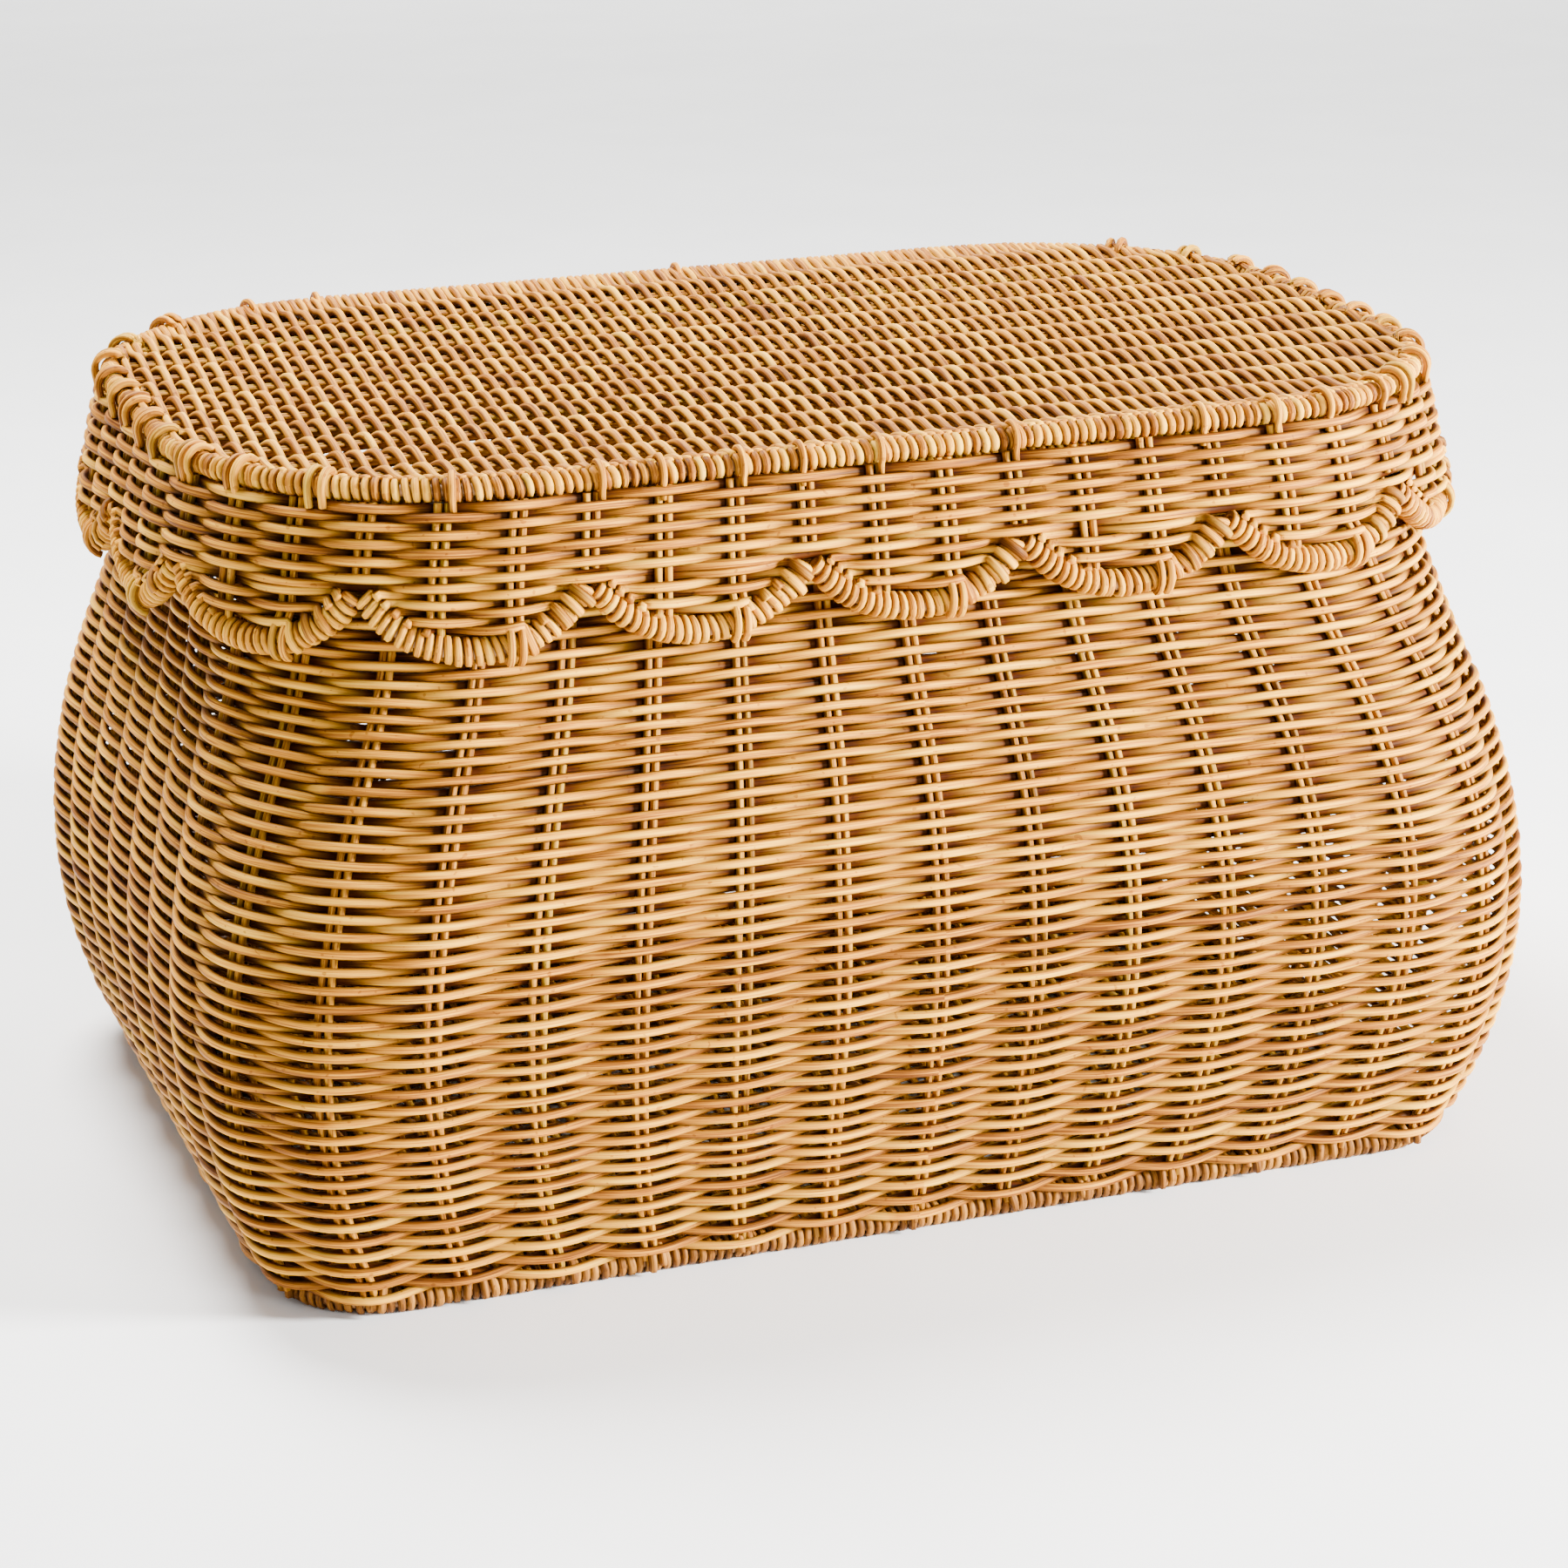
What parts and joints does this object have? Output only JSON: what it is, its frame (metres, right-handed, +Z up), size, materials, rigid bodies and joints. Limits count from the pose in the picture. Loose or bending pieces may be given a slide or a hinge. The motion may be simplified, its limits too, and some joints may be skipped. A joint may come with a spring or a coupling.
{
  "type": "laundry hamper",
  "caption": "Oblong woven rattan hamper with bulging sides and a loose flat lid whose skirt hangs in rope-edged scallops.",
  "frame": {"origin": "on the floor, under the middle of the hamper", "axes": "+X along the hamper's length, +Y towards its back, +Z up"},
  "size_m": [0.7074, 0.5088, 0.404],
  "materials": {
    "wall_reed": "satin",
    "lid_reed": "satin",
    "stake_rods": "satin",
    "core_rods": "satin",
    "binding_reed": "satin",
    "foot_binding": "satin"
  },
  "bodies": {
    "basket": {"base_ring": "core_rods", "base_ring_binding": "foot_binding", "floor_stringers": "stake_rods", "floor_weave": "wall_reed", "wall_stakes_front": "stake_rods", "wall_stakes_right": "stake_rods", "wall_stakes_back": "stake_rods", "wall_stakes_left": "stake_rods", "wall_weave": "wall_reed", "mouth_ring": "core_rods", "mouth_binding": "binding_reed"},
    "lid": {"lid_ring": "core_rods", "lid_ring_binding": "binding_reed", "lid_stringers": "stake_rods", "lid_weave": "lid_reed", "skirt_stakes_front": "stake_rods", "skirt_stakes_right": "stake_rods", "skirt_stakes_back": "stake_rods", "skirt_stakes_left": "stake_rods", "skirt_weave": "lid_reed", "scallop_rod_01": "core_rods", "scallop_rod_02": "core_rods", "scallop_rod_03": "core_rods", "scallop_rod_04": "core_rods", "scallop_rod_05": "core_rods", "scallop_rod_06": "core_rods", "scallop_rod_07": "core_rods", "scallop_rod_08": "core_rods", "scallop_rod_09": "core_rods", "scallop_rod_10": "core_rods", "scallop_rod_11": "core_rods", "scallop_rod_12": "core_rods", "scallop_rod_13": "core_rods", "scallop_rod_14": "core_rods", "scallop_rod_15": "core_rods", "scallop_rod_16": "core_rods", "scallop_rod_17": "core_rods", "scallop_rod_18": "core_rods", "scallop_binding_01": "binding_reed", "scallop_binding_02": "binding_reed", "scallop_binding_03": "binding_reed", "scallop_binding_04": "binding_reed", "scallop_binding_05": "binding_reed", "scallop_binding_06": "binding_reed", "scallop_binding_07": "binding_reed", "scallop_binding_08": "binding_reed", "scallop_binding_09": "binding_reed", "scallop_binding_10": "binding_reed", "scallop_binding_11": "binding_reed", "scallop_binding_12": "binding_reed", "scallop_binding_13": "binding_reed", "scallop_binding_14": "binding_reed", "scallop_binding_15": "binding_reed", "scallop_binding_16": "binding_reed", "scallop_binding_17": "binding_reed", "scallop_binding_18": "binding_reed"}
  },
  "joints": [
    {"name": "lid_lift", "type": "slide", "parent": "basket", "child": "lid", "axis": [0, 0, 1], "range_m": [0, 0.25]}
  ]
}
